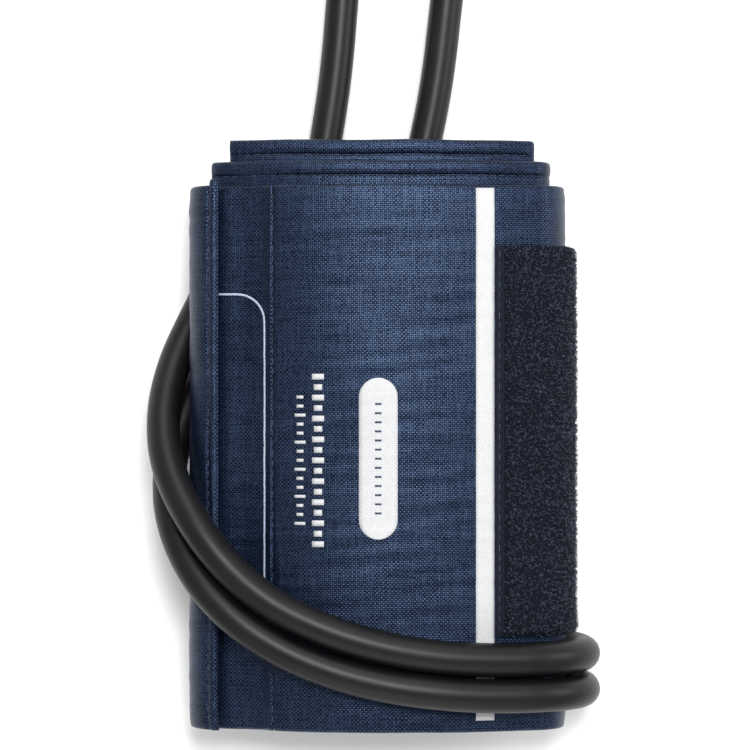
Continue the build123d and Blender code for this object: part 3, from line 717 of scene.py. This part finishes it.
def pile_loops(count):
    """Curled loops of filament, standing out of the ground at random."""
    draw = np.random.default_rng(7)
    distance = draw.uniform(PILE_START, PILE_END, count)
    y = draw.uniform(LOOP_LOW, LOOP_HIGH, count)
    heading = draw.uniform(0, 2 * pi, count)
    reach = draw.uniform(0.5, 1.25, count)
    rise = draw.uniform(0.15, 0.75, count)
    curl = draw.uniform(-0.6, 0.6, count)
    steps = np.linspace(0, 1, 5)
    turn = heading[:, None] + curl[:, None] * steps
    along = distance[:, None] + reach[:, None] * (steps - 0.5) * np.cos(turn)
    across = y[:, None] + reach[:, None] * (steps - 0.5) * np.sin(turn)
    ground = pile_height(distance, y)[:, None]
    out = ground - 0.25 + (rise[:, None] + 0.25) * np.sin(pi * steps)
    lines = np.stack([along, np.clip(across, LOOP_LOW, LOOP_HIGH), out], axis=2)
    tubes("loop_fastener_loops", lines, 0.07, PILE_LOOPS, "loop_pile")


def hooks(pitch):
    """Rows of stiff hooks on the skin side near the core's end."""
    distances = spaced(HOOK_START + 2, HOOK_END - 2, pitch)
    ys = spaced(-HOOK_HALF + 2, HOOK_HALF - 2, pitch)
    along, across = (a.ravel() for a in np.meshgrid(distances, ys, indexing="ij"))
    bow = np.array([(0, 0), (0, 0.55), (0.18, 0.82), (0.45, 0.78), (0.55, 0.5)])
    side = np.where(np.round(along / pitch) % 2 == 0, 1, -1)
    lines = np.stack([along[:, None] + side[:, None] * bow[:, 0],
                      np.repeat(across[:, None], len(bow), axis=1),
                      LINER_IN - TAPE - np.repeat(bow[None, :, 1], len(along), axis=0)], axis=2)
    tubes("hook_fastener_hooks", lines, 0.1, HOOK_NYLON, "hook_plastic", "hook_stubble")


pile_ground()
pile_loops(PILE_LOOP_COUNT)
hooks(HOOK_PITCH)


# ---- print -------------------------------------------------------------------------------
INK_OUT, INK_ON_INK_OUT = 0.07, 0.16    # over the cloth, and over the label's white
INK_THICKNESS = 0.06


def printed(name, patches, material, slot, node, out=INK_OUT):
    """Ink on the front face: patches are grids of (x, y) places, lifted off the cloth."""
    points, faces, strip = [], [], []
    for patch in patches:
        rows, columns = patch.shape[:2]
        distance = np.array([along_front(x) for x in patch[:, :, 0].ravel()])
        y = patch[:, :, 1].ravel()
        faces.extend(grid_faces(rows, columns, sum(len(p) for p in points)))
        points.append(surface(distance, y, out))
        strip.append(np.stack([distance, y], axis=1))
    made = piece(name, np.concatenate(points), faces, material, slot, node, np.concatenate(strip))
    ink = made.modifiers.new("ink", "SOLIDIFY")
    ink.thickness = INK_THICKNESS * MM
    ink.offset = 0


def block(x, y, wide, tall, step=1.2):
    """A rectangle as a grid of places."""
    xs, ys = (spaced(c - size / 2, c + size / 2, step) for c, size in ((x, wide), (y, tall)))
    return np.stack(np.meshgrid(xs, ys, indexing="ij"), axis=2)


def rounded_bar(x, y, wide, tall):
    """A bar with round ends."""
    radius = wide / 2
    ends = [radius * (1 - cos(pi / 2 * k / 8)) for k in range(9)]
    ys = [-tall / 2 + e for e in ends] + list(spaced(-tall / 2 + radius, tall / 2 - radius, 1.3))[1:-1]
    ys += [tall / 2 - e for e in reversed(ends)]
    rows = []
    for place in ys:
        beyond = max(0.0, abs(place) - (tall / 2 - radius))
        half = max(0.02, (radius ** 2 - beyond ** 2) ** 0.5)
        rows.append([(x + half * t, y + place) for t in np.linspace(-1, 1, 9)])
    return np.array(rows)[::-1]


def outline(x, half, corner, line, reach):
    """The right side of a rounded box, drawn as a thin line."""
    level = list(spaced(x - reach, x - corner, 0.9))
    centre_line = [(at, half, 0, 1) for at in level]
    centre_line += [(x - corner + corner * sin(a), half - corner + corner * cos(a), sin(a), cos(a))
                    for a in np.linspace(0, pi / 2, 12)[1:]]
    down = list(spaced(-half + corner, half - corner, 1.4))[::-1]
    centre_line += [(x, y, 1, 0) for y in down[1:]]
    centre_line += [(x - corner + corner * cos(a), -half + corner - corner * sin(a), cos(a), -sin(a))
                    for a in np.linspace(0, pi / 2, 12)[1:]]
    centre_line += [(at, -half, 0, -1) for at in reversed(level[:-1])]
    return np.array([[(px + nx * off, py + ny * off) for off in (-line / 2, 0, line / 2)]
                     for px, py, nx, ny in centre_line])[::-1]


def ticks(x, low, high, count, sizes):
    """A row of ticks along Y, whose sizes repeat in turn."""
    return [block(x, low + (high - low) * k / (count - 1), *sizes[k % len(sizes)])
            for k in range(count)]


STRIPE_X, STRIPE_WIDTH = 28.45, 4.9
STRIPE_LOW, STRIPE_HIGH = -EDGE + 3.2, EDGE - 0.9
PILL_X, PILL_WIDTH, PILL_LENGTH = 0.2, 10.2, 42.6
BOLD_SIZES = ((3.2, 1.5), (2.2, 1.5))
FINE_SIZES = ((2.9, 0.8), (1.8, 0.8), (1.8, 0.8))
PILL_TICK_SIZES = ((1.7, 0.5),)

printed("index_stripe_ink", [block(STRIPE_X, (STRIPE_LOW + STRIPE_HIGH) / 2, STRIPE_WIDTH,
                                   STRIPE_HIGH - STRIPE_LOW)],
        WHITE_INK, "white_print", "index_stripe")
printed("pill_label_ink", [rounded_bar(PILL_X, 0, PILL_WIDTH, PILL_LENGTH)], WHITE_INK,
        "white_print", "pill_label")
printed("range_outline_ink", [outline(x=-30.4, half=43.5, corner=7.4, line=0.55, reach=13)],
        PALE_INK, "pale_print", "range_outline")
printed("bold_marks_ink", ticks(-15.7, -22.6, 21.6, 17, BOLD_SIZES), WHITE_INK, "white_print",
        "bold_marks")
printed("fine_marks_ink", ticks(-20.5, -17.2, 16.2, 15, FINE_SIZES), WHITE_INK, "white_print",
        "fine_marks")
printed("pill_ticks_ink", ticks(PILL_X, -14.4, 14.4, 13, PILL_TICK_SIZES), NAVY_INK,
        "navy_print", "pill_ticks", out=INK_ON_INK_OUT)


# ---- stitching ---------------------------------------------------------------------------
STITCH, THREAD_RADIUS = 2.7, 0.13
THREAD_OUT = 0.05           # how far the threads lie off the cloth


def stitches(name, node, runs):
    """Lockstitches along runs: each is (start, end) as (distance, y), and a height on the strip."""
    lines = []
    for start, end, out in runs:
        start, end = np.array(start, float), np.array(end, float)
        count = max(1, round(np.linalg.norm(end - start) / STITCH))
        direction = (end - start) / count
        for k in range(count):
            shares = np.array([0.10, 0.20, 0.45, 0.70, 0.80])
            places = start + direction * (k + shares[:, None])
            depths = out + np.sign(out + 0.01) * np.array([-0.2, 0.02, 0.08, 0.02, -0.2])
            lines.append(np.column_stack([places, depths]))
    tubes(name, np.array(lines), THREAD_RADIUS, THREAD, "thread", node, sides=6)


def hem_runs(y):
    """A hem's line, in short runs that follow the cloth round the folds."""
    places = spaced(WRAP_2 + 3, STRIP_LENGTH - 3.5, STITCH)
    return [((a, y), (b, y), THREAD_OUT) for a, b in zip(places, places[1:])]


def cross_run(distance):
    """A line of stitching from edge to edge of the strip."""
    return [((distance, -EDGE + 2), (distance, EDGE - 2), THREAD_OUT)]


stitches("top_hem_threads", "top_hem_stitching", hem_runs(EDGE - HEM))
stitches("bottom_hem_threads", "bottom_hem_stitching", hem_runs(-EDGE + HEM))
stitches("flap_end_threads", "flap_end_stitching", cross_run(FLAP_STITCH))
stitches("core_end_threads", "core_end_stitching", cross_run(STRIP_LENGTH - 3.0))
stitches("pocket_seam_threads", "pocket_seam_stitching", cross_run(POCKET_END))
stitches("pocket_end_threads", "pocket_end_stitching", cross_run(POCKET_START - 2.0))
stitches("loop_tape_threads", "loop_tape_stitching",
         [((d, LOOP_LOW + 1), (d, LOOP_HIGH - 1), TAPE + 0.02)
          for d in (LOOP_START + 1.0, LOOP_END - 1.0)])
stitches("hook_tape_threads", "hook_tape_stitching",
         [((d, -HOOK_HALF + 2), (d, HOOK_HALF - 2), LINER_IN - TAPE - 0.02)
          for d in (HOOK_START + 1.0, HOOK_END - 1.0)])

# ---- floor and light ---------------------------------------------------------------------
FLOOR_HALF = 900.0


def floor():
    """A plain pale table top."""
    mesh = bpy.data.meshes.new("table_top")
    corners = [(-FLOOR_HALF, -FLOOR_HALF, 0), (FLOOR_HALF, -FLOOR_HALF, 0),
               (FLOOR_HALF, FLOOR_HALF, 0), (-FLOOR_HALF, FLOOR_HALF, 0)]
    mesh.from_pydata(to_row(corners).tolist(), [], [(0, 1, 2, 3)])
    matt = Shader("pale_floor", Roughness=0.9)
    shade = matt.noise(matt.object_coordinates(), 3, 3)
    matt.plug(matt.ramp(shade, 0.2, 0.8, (0.90, 0.90, 0.90), (0.93, 0.93, 0.93)),
              matt.shader.inputs["Base Color"])
    mesh.materials.append(matt.material)
    made = bpy.data.objects.new("table_top", mesh)
    bpy.context.scene.collection.objects.link(made)


LIGHT_TARGET = (0, 0, 20)


def softbox(name, place, size, power):
    """A square area light that looks at the middle of the roll."""
    data = bpy.data.lights.new(name, "AREA")
    data.size = size * MM
    data.energy = power
    light = bpy.data.objects.new(name, data)
    light.location = to_row(place)
    look = Vector(to_row(LIGHT_TARGET) - to_row(place))
    light.rotation_euler = look.to_track_quat("-Z", "Y").to_euler()
    bpy.context.scene.collection.objects.link(light)


floor()
softbox("main_light", (80, 320, 1050), 320, 9.2)
softbox("head_light", (0, 800, 500), 500, 2.5)
softbox("side_light", (620, 160, 330), 300, 1.4)
softbox("foot_light", (-100, -900, 500), 900, 3.0)


FLOOR_LEVEL, CEILING_LEVEL, ROOM_STRENGTH = 0.60, 0.30, 1.1
WALL_LEVELS = ((0.10, 0.45), (0.50, 0.65), (0.80, 0.65))    # height from 0 to 1, and level there


def grey(level):
    return level, level, level, 1


def studio():
    """A pale room: a darker band low on its wall, its brightest part above that, and a dark
    ceiling over the camera."""
    world = bpy.data.worlds.new("studio")
    world.use_nodes = True
    nodes, links = world.node_tree.nodes, world.node_tree.links
    apart = nodes.new("ShaderNodeSeparateXYZ")
    links.new(nodes.new("ShaderNodeTexCoord").outputs["Generated"], apart.inputs[0])
    wall = nodes.new("ShaderNodeValToRGB")
    steps = wall.color_ramp.elements
    steps[0].color, steps[1].color = grey(FLOOR_LEVEL), grey(CEILING_LEVEL)
    for height, level in WALL_LEVELS:
        steps.new(height).color = grey(level)
    links.new(apart.outputs["Z"], wall.inputs["Fac"])
    links.new(wall.outputs["Color"], nodes["Background"].inputs["Color"])
    nodes["Background"].inputs["Strength"].default_value = ROOM_STRENGTH
    bpy.context.scene.world = world


studio()
bpy.context.scene.view_settings.view_transform = "Standard"
